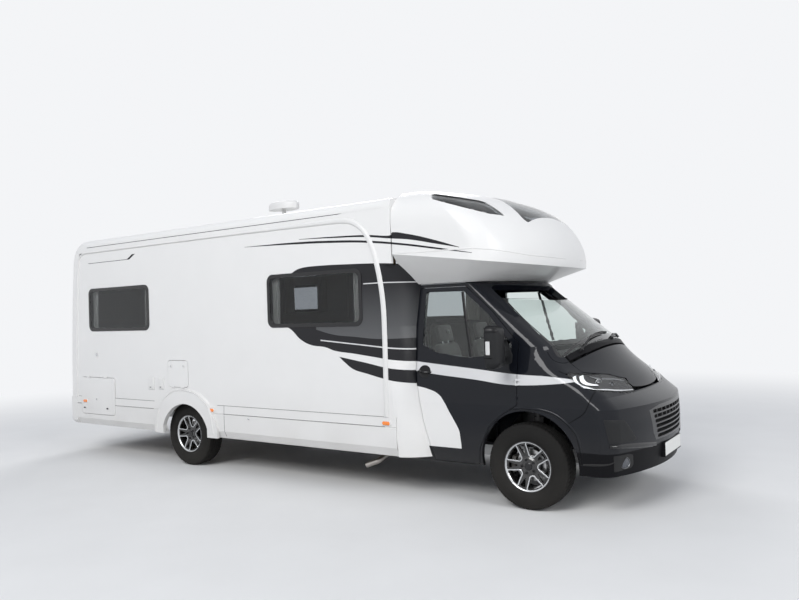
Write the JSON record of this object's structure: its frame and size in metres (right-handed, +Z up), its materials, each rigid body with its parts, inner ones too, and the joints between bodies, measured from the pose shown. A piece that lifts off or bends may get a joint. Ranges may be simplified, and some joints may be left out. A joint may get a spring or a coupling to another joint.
{
  "type": "coachbuilt motorhome",
  "caption": "Low-profile coachbuilt motorhome on a front-drive van cab, with opening doors, lockers, rooflights and steered wheels.",
  "frame": {"origin": "on the ground under the middle of the overall length and width", "axes": "+X forward, +Y to the vehicle left, +Z up"},
  "size_m": [7.6844, 2.64, 3.115],
  "materials": {
    "cab_paint": "deep gloss metallic black",
    "coach_paint": "gloss white",
    "white_plastic": "gloss white moulding",
    "dark_plastic": "grained dark grey",
    "seat_cloth": "woven grey cloth",
    "curtain_cloth": "pale pleated cloth",
    "galvanised": "spangled zinc",
    "floor_board": "sealed board",
    "cabinet_wood": "satin veneer",
    "glass": "clear tinted",
    "smoked_glass": "smoked acrylic",
    "window_frame": "gloss black",
    "cast_metal": "cast",
    "steel": "bright tube",
    "lamp_glass": "clear lens",
    "lamp_red": "red lens",
    "alloy": "black with machined edges",
    "tyre": "moulded rubber"
  },
  "bodies": {
    "root": {"aerial": "white_plastic", "cab_seats": "seat_cloth", "cab_shell": "cab_paint", "chassis_frame": "galvanised", "cheeks": "coach_paint", "coach_floor": "floor_board", "curtains": "curtain_cloth", "cushions": "seat_cloth", "dashboard": "dark_plastic", "engine": "cast_metal", "entry_step": "dark_plastic", "exhaust": "steel", "front_bumper": "dark_plastic", "front_wings": "cab_paint", "furniture": "cabinet_wood", "grille": "dark_plastic", "headlamps": "lamp_glass", "overcab_pod": "coach_paint", "radiator": "dark_plastic", "rear_axle": "galvanised", "rear_bumper": "coach_paint", "rear_lamps": "lamp_red", "rear_panel": "coach_paint", "roof": "coach_paint", "roof_rails": "coach_paint", "skirts": "coach_paint", "steering_wheel": "dark_plastic", "tanks": "dark_plastic", "wall_left": "coach_paint", "wall_right": "coach_paint", "washroom": "cabinet_wood", "window_frames": "window_frame", "window_panes": "smoked_glass", "windscreen": "glass"},
    "cab_door_right": {"cab_door_right": "cab_paint", "door_glass_right": "glass", "mirror_right": "dark_plastic"},
    "cab_door_left": {"cab_door_left": "cab_paint", "door_glass_left": "glass", "mirror_left": "dark_plastic"},
    "entry_door": {"entry_door": "coach_paint", "entry_window": "smoked_glass"},
    "bonnet": {"bonnet": "cab_paint"},
    "locker_door": {"locker_door_right": "coach_paint"},
    "service_door": {"service_door_right": "coach_paint"},
    "gas_door": {"gas_door_left": "coach_paint"},
    "rooflight_front": {"rooflight_front": "white_plastic"},
    "rooflight_rear": {"rooflight_rear": "white_plastic"},
    "front_left_knuckle": {"knuckle_left": "cast_metal"},
    "front_right_knuckle": {"knuckle_right": "cast_metal"},
    "front_left_wheel": {"rim_front_left": "alloy", "tyre_front_left": "tyre"},
    "front_right_wheel": {"rim_front_right": "alloy", "tyre_front_right": "tyre"},
    "rear_left_wheel": {"rim_rear_left": "alloy", "tyre_rear_left": "tyre"},
    "rear_right_wheel": {"rim_rear_right": "alloy", "tyre_rear_right": "tyre"}
  },
  "joints": [
    {"name": "steer_left", "type": "hinge", "parent": "root", "child": "front_left_knuckle", "pos_m": [2.8775, 0.74, 0.372], "axis": [0, 0, 1], "range_deg": [-34, 34]},
    {"name": "steer_right", "type": "hinge", "parent": "root", "child": "front_right_knuckle", "pos_m": [2.8775, -0.74, 0.372], "axis": [0, 0, 1], "range_deg": [-34, 34]},
    {"name": "spin_front_left", "type": "hinge", "parent": "front_left_knuckle", "child": "front_left_wheel", "pos_m": [2.8775, 0.905, 0.372], "axis": [0, 1, 0], "continuous": true},
    {"name": "spin_front_right", "type": "hinge", "parent": "front_right_knuckle", "child": "front_right_wheel", "pos_m": [2.8775, -0.905, 0.372], "axis": [0, 1, 0], "continuous": true},
    {"name": "spin_rear_left", "type": "hinge", "parent": "root", "child": "rear_left_wheel", "pos_m": [-1.4425, 0.99, 0.372], "axis": [0, 1, 0], "continuous": true},
    {"name": "spin_rear_right", "type": "hinge", "parent": "root", "child": "rear_right_wheel", "pos_m": [-1.4425, -0.99, 0.372], "axis": [0, 1, 0], "continuous": true},
    {"name": "cab_door_right_swing", "type": "hinge", "parent": "root", "child": "cab_door_right", "pos_m": [2.8075, -1.033, 0.995], "axis": [0, 0, 1], "range_deg": [0, 68]},
    {"name": "cab_door_left_swing", "type": "hinge", "parent": "root", "child": "cab_door_left", "pos_m": [2.8075, 1.033, 0.995], "axis": [0, 0, -1], "range_deg": [0, 68]},
    {"name": "entry_door_swing", "type": "hinge", "parent": "root", "child": "entry_door", "pos_m": [-0.145, 1.184, 1.5], "axis": [0, 0, -1], "range_deg": [0, 150]},
    {"name": "bonnet_lift", "type": "hinge", "parent": "root", "child": "bonnet", "pos_m": [3.0895, 0, 1.332], "axis": [0, -1, 0], "range_deg": [0, 42]},
    {"name": "locker_door_lift", "type": "hinge", "parent": "root", "child": "locker_door", "pos_m": [-3.1425, -1.189, 1.0065], "axis": [-1, 0, 0], "range_deg": [0, 100]},
    {"name": "service_door_drop", "type": "hinge", "parent": "root", "child": "service_door", "pos_m": [-1.515, -1.181, 0.9305], "axis": [1, 0, 0], "range_deg": [0, 90]},
    {"name": "gas_door_lift", "type": "hinge", "parent": "root", "child": "gas_door", "pos_m": [-2.4475, 1.189, 1.0025], "axis": [1, 0, 0], "range_deg": [0, 100]},
    {"name": "rooflight_front_lift", "type": "hinge", "parent": "root", "child": "rooflight_front", "pos_m": [0.2325, 0, 2.8533], "axis": [0, -1, 0], "range_deg": [0, 60]},
    {"name": "rooflight_rear_lift", "type": "hinge", "parent": "root", "child": "rooflight_rear", "pos_m": [-2.8475, 0, 2.8533], "axis": [0, -1, 0], "range_deg": [0, 60]}
  ],
  "couplings": [
    {"joint": "steer_right", "follows": "steer_left", "ratio": 1}
  ]
}
